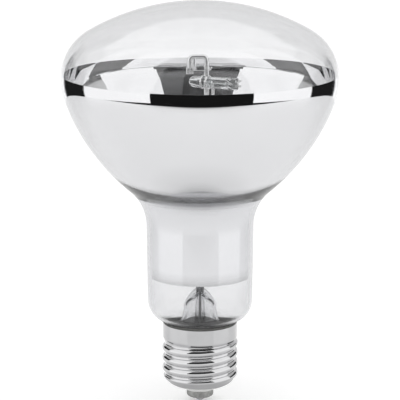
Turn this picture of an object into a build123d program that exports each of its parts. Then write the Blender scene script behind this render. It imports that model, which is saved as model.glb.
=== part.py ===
"""Reflector lamp for a reptile tank: a blown bulb with a mirrored bowl, its mount and its screw cap.

Millimetres. +Z runs up the lamp's axis, from the screw cap to the clear face.
The origin is on the axis, in the plane of the centre contact's flat end.
"""
import os
from math import cos, radians, sin, sqrt

from build123d import *

# Screw cap with a rolled round thread, measured up from the contact
thread_major = 26.4
thread_depth = 1.05
thread_pitch = 3.629
thread_root_flat = 0.42
thread_length = 11.6
thread_lead_in = 0.16
thread_runout = 1.3
cap_wall = 0.35
collar_step = 2.55
belly_height = 2.9
groove_land = 0.8
skirt_step = 0.3
skirt_cone = 0.9
skirt_height = 5.45

# Insulator, centre contact and solder
contact_height = 2.6
contact_wall = 0.5
contact_edge = 0.9
insulator_step = 4.9
insulator_foot = 0.5
insulator_cone = 2.4
insulator_rise = 0.7
wire_hole = 1.5
solder_diameter = 3.6
solder_drop = 1.8
solder_bulge = 0.8
lead_in_solder = 0.6

# Blown bulb, from the seal in the cap up to the clear face
glass_wall = 0.9
cement_gap = 0.75
cement_lip = 1.2
seal_depth = 2.4
seal_tuck = 0.35
seal_fillet = 1.2
shoulder_tuck = 0.85
neck_diameter = 36.5
neck_length = 26.5
flare_radius = 17.2
bowl_radius = 76.0
bowl_depth = 50.6
bulb_diameter = 95.0
rim_radius = 18.75
face_rise = 26.4

# Mirror coat inside the bulb
coat_thickness = 0.15
coat_above_rim = 2.0
coat_above_shoulder = 8.9

# Glass stem
stem_diameter = 9.4
stem_wall = 1.0
stem_rise = 8.2
stem_bore_depth = 1.2
stem_bore_angle = 30.0
press_loft = 3.3
press_length = 7.5
press_cover_x = 1.0
press_cover_y = 2.15
exhaust_diameter = 3.4
exhaust_wall = 0.7
exhaust_gap = 2.9

# Wires of the mount
fit_clearance = 0.05
lead_diameter = 0.9
lead_gap = 0.25
lead_stub = 2.0
lead_bend = 1.35
shell_lead_bend = 2.7
frame_diameter = 1.7
frame_offset = 2.2
jog_rise = 16.0
jog_length = 10.0
jog_bend = 6.0
hook_rise = 8.5
hook_span = 5.6
hook_bend = 1.4
hook_drop = 5.0
getter_wall = 0.4
getter_height = 2.2
back_post_stub = 4.8
thin_wire = 0.6

# Heat shield in the neck
shield_rise = 6.0
shield_gap = 1.7
shield_thickness = 0.5

# Ballast filament and what carries it
filament_rise = 5.2
filament_ring = 30.0
full_turn = 360.0
filament_coil = 1.4
filament_open_angle = 60.0
filament_turn_angle = -11.0
hub_diameter = 12.0
hub_thickness = 2.8
hub_edge = 0.5
hook_count = 5
hook_wire = 0.5
hook_root = 1.2

# Quartz burner, lying across the axis
burner_below_rim = 0.1
burner_turn_angle = 25.0
burner_diameter = 4.0
burner_wall = 0.55
burner_left = 6.3
burner_right = 9.2
burner_past_post = 1.5
pinch_length = 2.2
pinch_thickness = 1.8
pinch_edge = 0.4
pinch_cover = 0.7
electrode_rod = 0.5
electrode_tip = 0.7
electrode_tip_length = 2.0
long_electrode_reach = 10.5
short_electrode_reach = 4.0
foil_length = 1.8
foil_width = 1.1
foil_gap = 0.6
foil_thickness = 0.12
strap_width = 3.4
strap_thickness = 0.35
strap_offset = 0.75
saddle_width = 2.2
wire_bend = 0.5
wire_step = 0.5
wire_fold = 1.8
wire_behind = 0.45
wire_spacing = 1.0
wire_reach = 6.0
frame_joint_drop = 6.0

# Cap: radii and heights worked out from the driving dimensions
major_r = thread_major / 2
core_r = major_r - thread_depth
skirt_r = major_r - skirt_step
collar_r = core_r - collar_step
contact_r = collar_r - insulator_step
wire_hole_r = wire_hole / 2
collar_height = contact_height + insulator_cone
core_bottom = collar_height + belly_height
insulator_top = core_bottom + insulator_rise
thread_bottom = core_bottom + cap_wall
thread_top = thread_bottom + thread_length
groove_height = thread_top + groove_land
skirt_bottom = groove_height + skirt_cone
cap_height = skirt_bottom + skirt_height
thread_start = collar_height + thread_lead_in
thread_turns = (thread_top + thread_runout - thread_start) / thread_pitch

# Bulb: the centres of the outline's tangent arcs, as (radius, height)
bulb_r = bulb_diameter / 2
neck_r = neck_diameter / 2
seal_r = skirt_r - cap_wall - cement_gap
seal_height = cap_height - seal_depth
shoulder_radius = neck_r - seal_r + shoulder_tuck
seal_drop = sqrt((shoulder_radius + seal_fillet) ** 2 - (shoulder_tuck + seal_fillet) ** 2)
seal_centre = Vector(seal_r + seal_fillet, cap_height - seal_tuck)
shoulder_height = seal_centre.Y + seal_drop
shoulder_centre = Vector(neck_r - shoulder_radius, shoulder_height)
flare_height = shoulder_height + neck_length
flare_centre = Vector(neck_r + flare_radius, flare_height)
rim_height = flare_height + bowl_depth
rim_centre = Vector(bulb_r - rim_radius, rim_height)
overall_length = rim_height + face_rise
face_radius = (rim_centre.X**2 + face_rise**2 - rim_radius**2) / (2 * (face_rise - rim_radius))
face_centre = Vector(0, overall_length - face_radius)

# Mount: heights up the axis
stem_r = stem_diameter / 2
stem_height = cap_height + stem_rise
stem_bore_top = stem_height + stem_bore_depth
press_height = stem_height + press_loft
press_top = press_height + press_length
exhaust_tip = insulator_top + exhaust_gap
lead_y = (exhaust_diameter + lead_diameter) / 2 + lead_gap
press_width = 2 * lead_y + lead_diameter + 2 * press_cover_y
press_thickness = lead_diameter + 2 * press_cover_x
lead_end = press_top + lead_stub
frame_r = frame_diameter / 2
jog_bottom = lead_end + jog_rise
jog_top = jog_bottom + jog_length
shield_height = lead_end + shield_rise
shield_r = neck_r - glass_wall - coat_thickness - shield_gap
filament_height = jog_top + filament_rise
filament_ring_r = filament_ring / 2
back_post_top = filament_height + back_post_stub
burner_height = rim_height - burner_below_rim
burner_r = burner_diameter / 2
hook_top = burner_height + hook_rise


def circles_meet(first, first_radius, second, second_radius):
    """Of the two points at the given distances from two centres, the one nearer to the axis."""
    apart = (second - first).length
    along = (first_radius**2 - second_radius**2 + apart**2) / (2 * apart)
    across = sqrt(first_radius**2 - along**2)
    unit = (second - first) / apart
    side = Vector(-unit.Y, unit.X)
    points = [first + unit * along + side * across, first + unit * along - side * across]
    return min(points, key=lambda point: point.X)


bowl_centre = circles_meet(rim_centre, bowl_radius - rim_radius, flare_centre, bowl_radius + flare_radius)
face_to_rim = (rim_centre - face_centre).normalized()
bowl_to_rim = (rim_centre - bowl_centre).normalized()
bowl_to_flare = (flare_centre - bowl_centre).normalized()
shoulder_to_seal = (seal_centre - shoulder_centre).normalized()


def bulb_section(inset):
    """Half section of the bulb, from its axis to an outline that lies inset inside the outer glass."""
    apex = Vector(0, overall_length - inset)
    rim_start = rim_centre + face_to_rim * (rim_radius - inset)
    bowl_start = rim_centre + bowl_to_rim * (rim_radius - inset)
    bowl_end = bowl_centre + bowl_to_flare * (bowl_radius - inset)
    neck_top = Vector(neck_r - inset, flare_height)
    neck_bottom = Vector(neck_r - inset, shoulder_height)
    shoulder_end = shoulder_centre + shoulder_to_seal * (shoulder_radius - inset)
    seal_top = Vector(seal_r - inset, seal_centre.Y)
    seal_end = Vector(seal_r - inset, seal_height)
    with BuildSketch(Plane.XZ) as section:
        with BuildLine():
            face = TangentArc(apex, rim_start, tangent=(1, 0))
            rim = TangentArc(rim_start, bowl_start, tangent=face % 1)
            bowl = TangentArc(bowl_start, bowl_end, tangent=rim % 1)
            TangentArc(bowl_end, neck_top, tangent=bowl % 1)
            neck = Line(neck_top, neck_bottom)
            shoulder = TangentArc(neck_bottom, shoulder_end, tangent=neck % 1)
            TangentArc(shoulder_end, seal_top, tangent=shoulder % 1)
            Polyline(seal_top, seal_end, (0, seal_height), apex)
        make_face()
    return section.sketch


def bent_wire(points, bend, diameter):
    """A round wire along straight runs joined by arcs of one radius, or of a list of them."""
    with BuildPart() as wire:
        with BuildLine() as route:
            FilletPolyline(*points, radius=bend)
        with BuildSketch(Plane(route.line @ 0, z_dir=route.line % 0)):
            Circle(diameter / 2)
        sweep()
    return wire.part


# Bulb of clear glass, blown in one piece and open at the seal
with BuildPart() as glass_envelope:
    revolve(bulb_section(0))
    revolve(bulb_section(glass_wall), mode=Mode.SUBTRACT)

# Mirror coat on the inside of the bowl and the neck
with BuildPart() as reflector_coating:
    revolve(bulb_section(glass_wall))
    revolve(bulb_section(glass_wall + coat_thickness), mode=Mode.SUBTRACT)
    split(bisect_by=Plane.XY.offset(rim_height + coat_above_rim), keep=Keep.BOTTOM)
    split(bisect_by=Plane.XY.offset(shoulder_height + coat_above_shoulder), keep=Keep.TOP)

# Lead-in wires: one to the centre contact, one to the threaded shell
contact_lead = bent_wire(
    [
        (0, -lead_y, lead_end),
        (0, -lead_y, exhaust_tip),
        (0, 0, insulator_top),
        (0, 0, -lead_in_solder),
    ],
    lead_bend,
    lead_diameter,
)
shell_lead = bent_wire(
    [
        (0, lead_y, lead_end),
        (0, lead_y, thread_top - thread_runout),
        (0, core_r - cap_wall - fit_clearance, thread_top - thread_runout),
    ],
    shell_lead_bend,
    lead_diameter,
)

# Stem: a flared glass tube, sealed to the bulb and pressed flat round the two wires
with BuildPart() as stem:
    with BuildSketch(Plane.XZ):
        with BuildLine():
            flare_top = Vector(stem_r, stem_height)
            flare_rim = Vector(seal_r - glass_wall, seal_height)
            TangentArc(flare_top, flare_rim, tangent=(0, -1))
            Polyline(
                flare_rim,
                (seal_r, seal_height),
                (seal_r, seal_height - stem_wall),
                flare_rim - Vector(0, stem_wall),
            )
            bore_foot = flare_top - Vector(stem_wall, 0)
            TangentArc(bore_foot, flare_rim - Vector(0, stem_wall), tangent=(0, -1))
            Line(bore_foot, flare_top)
        make_face()
    revolve()
    with BuildSketch(Plane.XY.offset(stem_height)):
        Circle(stem_r)
    with BuildSketch(Plane.XY.offset(press_height)):
        RectangleRounded(press_thickness, press_width, press_thickness / 3)
    loft()
    with BuildSketch(Plane.XY.offset(press_height)):
        RectangleRounded(press_thickness, press_width, press_thickness / 3)
    extrude(amount=press_top - press_height)
    with BuildSketch(Plane.XY.offset(stem_height)):
        Circle(stem_r - stem_wall)
    extrude(amount=stem_bore_depth, taper=stem_bore_angle, mode=Mode.SUBTRACT)
    add([contact_lead, shell_lead], mode=Mode.SUBTRACT)

# Exhaust tube down the middle of the stem, melted shut at its lower end
with BuildPart() as exhaust_tube:
    with BuildSketch(Plane.XY.offset(stem_bore_top)):
        Circle(exhaust_diameter / 2)
    extrude(amount=exhaust_tip - stem_bore_top)
    fillet(exhaust_tube.edges().sort_by(Axis.Z)[0], exhaust_wall)
    with BuildSketch(Plane.XY.offset(stem_bore_top)):
        Circle(exhaust_diameter / 2 - exhaust_wall)
    extrude(amount=exhaust_tip + exhaust_wall - stem_bore_top, mode=Mode.SUBTRACT)

# Support frame: a stout wire up from the front lead, bent over above the burner into a hook
frame_axis = Vector(frame_offset, -lead_y)
support_frame = bent_wire(
    [
        (0, -lead_y, lead_end),
        (0, -lead_y, jog_bottom),
        (frame_axis.X, frame_axis.Y, jog_top),
        (frame_axis.X, frame_axis.Y, hook_top),
        (frame_axis.X - hook_span, frame_axis.Y, hook_top),
        (frame_axis.X - hook_span, frame_axis.Y, hook_top - hook_drop),
    ],
    [jog_bend, jog_bend, hook_bend, hook_bend],
    frame_diameter,
)
back_post = bent_wire(
    [
        (0, lead_y, lead_end),
        (0, lead_y, jog_bottom),
        (-frame_offset, lead_y, jog_top),
        (-frame_offset, lead_y, back_post_top),
    ],
    jog_bend,
    frame_diameter,
)

# Getter: a small cup pressed on the end of the hook
with BuildPart() as getter_cup:
    getter_foot = hook_top - hook_drop - getter_height / 2
    with BuildSketch(Plane((frame_axis.X - hook_span, frame_axis.Y, getter_foot))):
        Circle(frame_r + getter_wall)
    extrude(amount=getter_height)
    add(support_frame, mode=Mode.SUBTRACT)

# Heat shield: a disc across the neck, threaded on the two posts
with BuildPart() as heat_shield:
    with BuildSketch(Plane.XY.offset(shield_height)):
        Circle(shield_r)
        with GridLocations(0, 2 * lead_y, 1, 2):
            Circle(frame_r + fit_clearance, mode=Mode.SUBTRACT)
    extrude(amount=shield_thickness)

# Ballast filament: the coil's outer form, bent into an open ring
filament_start = filament_turn_angle + filament_open_angle / 2
filament_arc = full_turn - filament_open_angle
with BuildPart() as ballast_filament:
    with BuildLine(Plane.XY.offset(filament_height)) as ring:
        CenterArc((0, 0), filament_ring_r, filament_start, filament_arc)
    with BuildSketch(Plane(ring.line @ 0, z_dir=ring.line % 0)):
        Circle(filament_coil / 2)
    sweep()

# Filament hooks: wires out of the hub, each ending in an eye round the coil
hook_spacing = filament_arc / hook_count
hook_start = filament_start + hook_spacing / 2
hook_sweep = filament_arc - hook_spacing
eye_r = (filament_coil + hook_wire) / 2 + fit_clearance
hook_length = filament_ring_r - eye_r - hub_diameter / 2 + hook_root
shank_r = filament_ring_r - eye_r - hook_length / 2
with BuildPart(Plane.XY.offset(filament_height)) as filament_hooks:
    with PolarLocations(filament_ring_r, hook_count, hook_start, hook_sweep, endpoint=True):
        Torus(eye_r, hook_wire / 2, rotation=(90, 0, 0))
    with PolarLocations(shank_r, hook_count, hook_start, hook_sweep, endpoint=True):
        Cylinder(hook_wire / 2, hook_length, rotation=(0, 90, 0))

# Hub: a ceramic bead on the two posts that holds the hooks
with BuildPart() as filament_hub:
    with BuildSketch(Plane.XY.offset(filament_height - hub_thickness / 2)):
        Circle(hub_diameter / 2)
    extrude(amount=hub_thickness)
    fillet(filament_hub.edges(), hub_edge)
    with BuildSketch(Plane.XY.offset(filament_height - hub_thickness / 2)):
        with Locations((frame_axis.X, frame_axis.Y), (-frame_offset, lead_y)):
            Circle(frame_r + fit_clearance)
    extrude(amount=hub_thickness, mode=Mode.SUBTRACT)
    add(filament_hooks.part, mode=Mode.SUBTRACT)

# Tail: a short wire from one end of the filament to the back post
filament_end = ring.line @ 0
post_head = Vector(-frame_offset, lead_y, back_post_top - frame_diameter)
tail_way = (post_head - filament_end).normalized()
tail_length = (post_head - filament_end).length - frame_r - fit_clearance - filament_coil / 2
with BuildPart() as filament_tail:
    with BuildSketch(Plane(filament_end + tail_way * (filament_coil / 2 + fit_clearance), z_dir=tail_way)):
        Circle(thin_wire / 2)
    extrude(amount=tail_length - fit_clearance)

# Burner frame: X along the burner, Y away from the front, origin where the strap grips it
burner_to_post = burner_r + strap_thickness + frame_r + 2 * fit_clearance
turn = radians(burner_turn_angle)
burner_x = Vector(cos(turn), -sin(turn), 0)
burner_y = Vector(sin(turn), cos(turn), 0)
burner_post = Vector(frame_axis.X, frame_axis.Y, burner_height)
burner_origin = burner_post + burner_x * burner_past_post - burner_y * burner_to_post
burner = Plane(burner_origin, x_dir=burner_x, z_dir=(0, 0, 1))
burner_end = burner_right + pinch_length
foil_start = burner_end - pinch_cover - foil_length
rod_z = (foil_width + foil_gap) / 2


def along_burner(x, z):
    """Plane across the burner at a distance x along it and z above its axis, facing its pinched end."""
    return Plane(burner.from_local_coords(Vector(x, 0, z)), x_dir=burner_y, z_dir=burner_x)


def electrode(reach, z):
    """Tungsten rod out of the pinch, with a thicker wound tip reaching into the tube."""
    with BuildPart() as rod:
        with BuildSketch(along_burner(foil_start, z)):
            Circle(electrode_rod / 2)
        extrude(amount=-reach)
        with BuildSketch(along_burner(foil_start - reach, z)):
            Circle(electrode_tip / 2)
        extrude(amount=electrode_tip_length)
    return rod.part


def foil(z):
    """Thin foil inside the pinch, between an electrode and its outer wire."""
    with BuildPart() as strip:
        with BuildSketch(along_burner(foil_start, z)):
            Rectangle(foil_thickness, foil_width)
        extrude(amount=foil_length)
    return strip.part


electrode_long = electrode(long_electrode_reach, rod_z)
electrode_short = electrode(short_electrode_reach, -rod_z)
foil_upper = foil(rod_z)
foil_lower = foil(-rod_z)

# Outer wires of the burner: both fold back behind it, one to the filament, one to the frame
filament_far_end = ring.line @ 1
fold_x = burner_end + wire_step
lower_x = strap_offset - burner_past_post + strap_width / 2
lower_y = burner_to_post + wire_behind
lower_drop = burner.from_local_coords(Vector(lower_x, lower_y, -rod_z))
upper_drop = burner.from_local_coords(Vector(lower_x - wire_spacing, lower_y + wire_spacing, rod_z))
burner_lead_upper = bent_wire(
    [
        burner.from_local_coords(Vector(foil_start + foil_length, 0, rod_z)),
        burner.from_local_coords(Vector(fold_x, 0, rod_z)),
        burner.from_local_coords(Vector(fold_x, wire_fold, rod_z)),
        upper_drop,
        (upper_drop.X, upper_drop.Y, filament_height + wire_reach),
        (filament_far_end.X, filament_far_end.Y, filament_height + filament_coil / 2 + fit_clearance),
    ],
    wire_bend,
    thin_wire,
)
frame_point = Vector(frame_axis.X, frame_axis.Y, burner_height - frame_joint_drop)
lower_foot = Vector(lower_drop.X, lower_drop.Y, frame_point.Z)
to_frame = (frame_point - lower_foot).normalized()
burner_lead_lower = bent_wire(
    [
        burner.from_local_coords(Vector(foil_start + foil_length, 0, -rod_z)),
        burner.from_local_coords(Vector(fold_x, 0, -rod_z)),
        burner.from_local_coords(Vector(fold_x, wire_fold, -rod_z)),
        lower_drop,
        lower_foot,
        frame_point - to_frame * (frame_r + fit_clearance),
    ],
    wire_bend,
    thin_wire,
)

# Burner tube: quartz, rounded at one end and pinched flat round the foils at the other
with BuildPart() as burner_tube:
    with BuildSketch(Plane(burner_origin, x_dir=burner_x, z_dir=-burner_y)):
        with BuildLine():
            Line((-burner_left, 0), (burner_right, 0))
            JernArc((-burner_left, 0), (0, 1), burner_r, -90)
            Line((burner_r - burner_left, burner_r), (burner_right - burner_r, burner_r))
            JernArc((burner_right - burner_r, burner_r), (1, 0), burner_r, -90)
        make_face()
    revolve(axis=Axis(burner_origin, burner_x))
    with BuildSketch(along_burner(burner_end, 0)):
        RectangleRounded(pinch_thickness, burner_diameter, pinch_edge)
    extrude(amount=-(pinch_length + burner_r))
    bore_r = burner_r - burner_wall
    with BuildSketch(Plane(burner_origin, x_dir=burner_x, z_dir=-burner_y)):
        with BuildLine():
            Line((burner_wall - burner_left, 0), (burner_right - burner_wall, 0))
            JernArc((burner_wall - burner_left, 0), (0, 1), bore_r, -90)
            Line((burner_r - burner_left, bore_r), (burner_right - burner_r, bore_r))
            JernArc((burner_right - burner_r, bore_r), (1, 0), bore_r, -90)
        make_face()
    revolve(axis=Axis(burner_origin, burner_x), mode=Mode.SUBTRACT)
    add([electrode_long, electrode_short, foil_upper, foil_lower], mode=Mode.SUBTRACT)
    add([burner_lead_upper, burner_lead_lower], mode=Mode.SUBTRACT)

# Strap: a metal band round the burner with a saddle against the frame
with BuildPart() as burner_strap:
    with BuildSketch(along_burner(strap_offset - burner_past_post - strap_width / 2, 0)):
        Circle(burner_r + fit_clearance + strap_thickness)
        with Locations((burner_to_post / 2, 0)):
            Rectangle(burner_to_post, saddle_width)
        Circle(burner_r + fit_clearance, mode=Mode.SUBTRACT)
    extrude(amount=strap_width)
    add(support_frame, mode=Mode.SUBTRACT)

# Threaded shell: rolled sheet metal with a right-handed round thread
thread_half = (thread_pitch - thread_root_flat) / 2
flank_r = core_r + thread_depth / 2


def shell_section(inset):
    """Half section of the shell's plain body, from its axis to a face that lies inset inside it."""
    with BuildSketch(Plane.XZ) as section:
        with BuildLine():
            collar = Vector(collar_r, collar_height + inset)
            core = Vector(core_r - inset, core_bottom)
            TangentArc(core, collar, tangent=(0, -1))
            Polyline(
                core,
                (core_r - inset, groove_height),
                (skirt_r - inset, skirt_bottom),
                (skirt_r - inset, cap_height),
                (0, cap_height),
                (0, collar_height + inset),
                collar,
            )
        make_face()
    return section.sketch


with BuildPart() as cap_shell:
    with BuildLine():
        Helix(thread_pitch, thread_turns * thread_pitch, core_r, center=(0, 0, thread_start))
    with BuildSketch(Plane((0, 0, thread_start), x_dir=(1, 0, 0), z_dir=(0, -1, 0))):
        with BuildLine():
            lower_flank = Vector(flank_r, -thread_half / 2)
            upper_flank = Vector(flank_r, thread_half / 2)
            rise = TangentArc((core_r, -thread_half), lower_flank, tangent=(0, 1))
            crest = TangentArc(lower_flank, upper_flank, tangent=rise % 1)
            TangentArc(upper_flank, (core_r, thread_half), tangent=crest % 1)
            Polyline(
                (core_r, thread_half),
                (core_r - cap_wall / 2, thread_half),
                (core_r - cap_wall / 2, -thread_half),
                (core_r, -thread_half),
            )
        make_face()
    sweep(is_frenet=True)
    with BuildSketch(Plane.XZ):
        with BuildLine():
            Polyline(
                (0, collar_height),
                (collar_r, collar_height),
                (major_r + fit_clearance, thread_bottom),
                (major_r + fit_clearance, thread_top),
                (core_r, thread_top + thread_runout),
                (0, thread_top + thread_runout),
                close=True,
            )
        make_face()
    revolve(mode=Mode.INTERSECT)
    revolve(shell_section(0))
    revolve(shell_section(cap_wall), mode=Mode.SUBTRACT)
    with BuildSketch(Plane.XY.offset(collar_height)):
        Circle(collar_r)
    extrude(amount=cap_wall, mode=Mode.SUBTRACT)

# Insulator: moulded into the shell's lower end and into the contact
with BuildPart() as cap_insulator:
    revolve(shell_section(cap_wall))
    split(bisect_by=Plane.XY.offset(insulator_top), keep=Keep.BOTTOM)
    with BuildSketch(Plane.XZ):
        with BuildLine():
            Polyline(
                (0, collar_height + cap_wall),
                (collar_r, collar_height + cap_wall),
                (collar_r, collar_height),
                (contact_r + insulator_foot, contact_height),
                (contact_r - contact_wall, contact_height),
                (contact_r - contact_wall, contact_wall),
                (0, contact_wall),
                close=True,
            )
        make_face()
    revolve()
    with Locations((0, 0, insulator_top)):
        Hole(wire_hole_r)

# Centre contact: a drawn metal cup with a hole for the wire
with BuildPart() as contact_button:
    with BuildSketch():
        Circle(contact_r)
    extrude(amount=contact_height)
    fillet(contact_button.edges().sort_by(Axis.Z)[0], contact_edge)
    with BuildSketch(Plane.XY.offset(contact_wall)):
        Circle(contact_r - contact_wall)
    extrude(amount=contact_height, mode=Mode.SUBTRACT)
    Hole(wire_hole_r)

# Solder bead that closes the contact's hole round the wire
with BuildPart() as contact_solder:
    with BuildSketch(Plane.XZ):
        with BuildLine():
            solder_r = solder_diameter / 2
            bead_side = Vector(solder_bulge * solder_r, -solder_drop / 2)
            bead = ThreePointArc((0, -solder_drop), bead_side, (solder_r, 0))
            Polyline(bead @ 1, (wire_hole_r, 0), (wire_hole_r, contact_wall), (0, contact_wall), bead @ 0)
        make_face()
    revolve()
    add(contact_lead, mode=Mode.SUBTRACT)

# Basing cement between the bulb's seal and the skirt
with BuildPart() as cap_cement:
    with BuildSketch(Plane.XZ):
        with BuildLine():
            Polyline(
                (seal_r - glass_wall, seal_height),
                (skirt_r - cap_wall, seal_height),
                (skirt_r - cap_wall, cap_height),
                (skirt_r, cap_height),
                (skirt_r, cap_height + cement_lip),
                (seal_r - glass_wall, cap_height + cement_lip),
                close=True,
            )
        make_face()
    revolve()
    revolve(bulb_section(0), mode=Mode.SUBTRACT)

nodes = {
    "glass_envelope": glass_envelope.part,
    "reflector_coating": reflector_coating.part,
    "stem": stem.part,
    "exhaust_tube": exhaust_tube.part,
    "contact_lead": contact_lead,
    "shell_lead": shell_lead,
    "support_frame": support_frame,
    "back_post": back_post,
    "getter_cup": getter_cup.part,
    "heat_shield": heat_shield.part,
    "ballast_filament": ballast_filament.part,
    "filament_hooks": filament_hooks.part,
    "filament_hub": filament_hub.part,
    "filament_tail": filament_tail.part,
    "burner_tube": burner_tube.part,
    "burner_strap": burner_strap.part,
    "electrode_long": electrode_long,
    "electrode_short": electrode_short,
    "foil_upper": foil_upper,
    "foil_lower": foil_lower,
    "burner_lead_upper": burner_lead_upper,
    "burner_lead_lower": burner_lead_lower,
    "cap_shell": cap_shell.part,
    "cap_insulator": cap_insulator.part,
    "contact_button": contact_button.part,
    "contact_solder": contact_solder.part,
    "cap_cement": cap_cement.part,
}

os.makedirs("parts", exist_ok=True)
for name, piece in nodes.items():
    piece.label = name
    export_step(piece, f"parts/{name}.step")
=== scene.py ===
# %% [markdown]
# # A reflector heat lamp for a reptile tank
# The lamp is a blown glass mushroom with a mirror inside its bowl, a small quartz burner behind a
# clear face, and a screw cap. The CAD model gives the main sizes. Here each piece that shows gets a
# smooth surface and a finish. Glass and mirrors have almost no colour of their own, so most of the
# picture is what they reflect, and the last cells build that studio.

from math import atan2, cos, hypot, pi, radians, sin, sqrt

import bmesh
import bpy
import numpy as np
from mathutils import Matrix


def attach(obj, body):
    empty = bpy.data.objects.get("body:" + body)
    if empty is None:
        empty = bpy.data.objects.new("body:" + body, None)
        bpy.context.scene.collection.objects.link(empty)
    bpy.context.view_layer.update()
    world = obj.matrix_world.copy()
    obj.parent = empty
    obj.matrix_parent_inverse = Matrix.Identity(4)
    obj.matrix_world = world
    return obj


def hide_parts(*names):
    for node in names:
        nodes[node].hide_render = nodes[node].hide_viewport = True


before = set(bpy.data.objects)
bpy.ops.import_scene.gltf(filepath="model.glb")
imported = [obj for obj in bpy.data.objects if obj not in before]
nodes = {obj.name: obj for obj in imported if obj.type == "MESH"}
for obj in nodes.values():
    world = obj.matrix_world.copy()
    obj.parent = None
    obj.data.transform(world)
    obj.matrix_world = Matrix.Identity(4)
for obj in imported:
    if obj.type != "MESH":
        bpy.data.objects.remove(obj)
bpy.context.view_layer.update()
MM = 0.001

# %% [markdown]
# ## From arrays to a piece
# A surface is a grid of points: one index runs along a profile, the other runs round it. The pieces
# could be drawn by hand, or spun with modifiers. Written as numpy arrays, a whole surface is one
# formula, and a changed number rebuilds it. Rows that shrink to a point, as at the top of a dome,
# are merged there, so that every piece is a closed skin.

# %% Grids into meshes
MERGE_DISTANCE = 1e-8
SHARP_ANGLE = 40


def grid_faces(rows, columns):
    """Corner numbers of the four-sided faces of a grid whose columns close on themselves."""
    row = np.arange(rows - 1)[:, None]
    column = np.arange(columns)[None, :]
    following = (column + 1) % columns
    corners = (row * columns + column, (row + 1) * columns + column)
    corners += ((row + 1) * columns + following, row * columns + following)
    return np.stack(np.broadcast_arrays(*corners), axis=-1).reshape(-1, 4)


def put_piece(name, grids, finish, stands_for, sharp=SHARP_ANGLE):
    """Makes one object from grids of points in millimetres, each an array of (rows, columns, 3), and
    lets it take the place of the CAD nodes it stands for."""
    points = np.concatenate([grid.reshape(-1, 3) for grid in grids])
    starts = np.cumsum([0] + [grid.shape[0] * grid.shape[1] for grid in grids[:-1]])
    faces = np.concatenate([grid_faces(*grid.shape[:2]) + start for grid, start in zip(grids, starts)])
    mesh = bpy.data.meshes.new(name)
    mesh.vertices.add(len(points))
    mesh.vertices.foreach_set("co", (points * MM).astype(np.float32).ravel())
    mesh.loops.add(faces.size)
    mesh.loops.foreach_set("vertex_index", faces.astype(np.int32).ravel())
    mesh.polygons.add(len(faces))
    mesh.polygons.foreach_set("loop_start", np.arange(0, faces.size, 4, dtype=np.int32))
    mesh.update(calc_edges=True)
    skin = bmesh.new()
    skin.from_mesh(mesh)
    bmesh.ops.remove_doubles(skin, verts=skin.verts, dist=MERGE_DISTANCE)
    skin.to_mesh(mesh)
    skin.free()
    mesh.shade_smooth()
    mesh.set_sharp_from_angle(angle=radians(sharp))
    mesh.materials.append(finish)
    piece = bpy.data.objects.new(name, mesh)
    bpy.context.scene.collection.objects.link(piece)
    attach(piece, "root")
    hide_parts(*stands_for)
    print(name, "faces:", len(mesh.polygons))


# %% Profiles, lathes and tubes


def arc(centre, radius, start, end, count):
    """Points (radius, height) on a circle, from one angle to another in radians."""
    angle = np.linspace(start, end, count)
    return np.stack([centre[0] + radius * np.cos(angle), centre[1] + radius * np.sin(angle)], axis=-1)


def run(*corners, count=2):
    """Points on straight runs between corners, evenly spaced along each run."""
    corners = np.array(corners, float)
    share = np.linspace(0, 1, count)[:, None]
    pieces = [start + (end - start) * share for start, end in zip(corners[:-1], corners[1:])]
    return np.concatenate(pieces)


def lathe(profile, columns=160):
    """A profile of (radius, height) turned round the lamp's axis: x and y are the radius times the
    cosine and sine of the turn, and z is the height. It runs down the outside and up the inside."""
    turn = np.linspace(0, 2 * pi, columns, endpoint=False)
    radius = profile[:, 0, None]
    height = np.broadcast_to(profile[:, 1, None], (len(profile), columns))
    return np.stack([radius * np.cos(turn), radius * np.sin(turn), height], axis=-1)


def tube(path, radius, side, columns):
    """A round section carried along a path. Across it lie the side vector, made square to the path,
    and the path's direction crossed with that. A first and last row of no radius close the ends."""
    along = np.gradient(path, axis=0)
    along /= np.linalg.norm(along, axis=1, keepdims=True)
    across = np.cross(along, np.broadcast_to(np.array(side, float), path.shape))
    across /= np.linalg.norm(across, axis=1, keepdims=True)
    upward = np.cross(across, along)
    turn = np.linspace(0, 2 * pi, columns, endpoint=False)[:, None]
    ring = across[:, None] * np.cos(turn) + upward[:, None] * np.sin(turn)
    wall = path[:, None] + ring * radius
    first = np.broadcast_to(path[0], (1, columns, 3))
    last = np.broadcast_to(path[-1], (1, columns, 3))
    return np.concatenate([first, wall, last])


# %% [markdown]
# ## Finishes
# Each finish is a Principled shader. A number that is the same all over sits on the shader's own
# socket. What varies, such as draw marks on a wire or clouds on a film, could come from a picture.
# Noise on the piece's own coordinates needs none and stays in place from every side.

# %% Noise, tint, roughness and dents
NOISE_LOW, NOISE_HIGH, NOISE_DETAIL = 0.3, 0.7, 4.0
EVEN = (1, 1, 1)


def set_sockets(node, sockets):
    """Sets inputs of a node by their names, in which _ stands for a space."""
    for name, value in sockets.items():
        node.inputs[name.replace("_", " ")].default_value = value


def add_node(tree, kind, **sockets):
    """A new shader node of a kind, with inputs set by name."""
    node = tree.nodes.new("ShaderNode" + kind)
    set_sockets(node, sockets)
    return node


def new_finish(name, **sockets):
    """A material with one Principled shader, with inputs set by name."""
    material = bpy.data.materials.new(name)
    material.use_nodes = True
    set_sockets(material.node_tree.nodes["Principled BSDF"], sockets)
    return material


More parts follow.
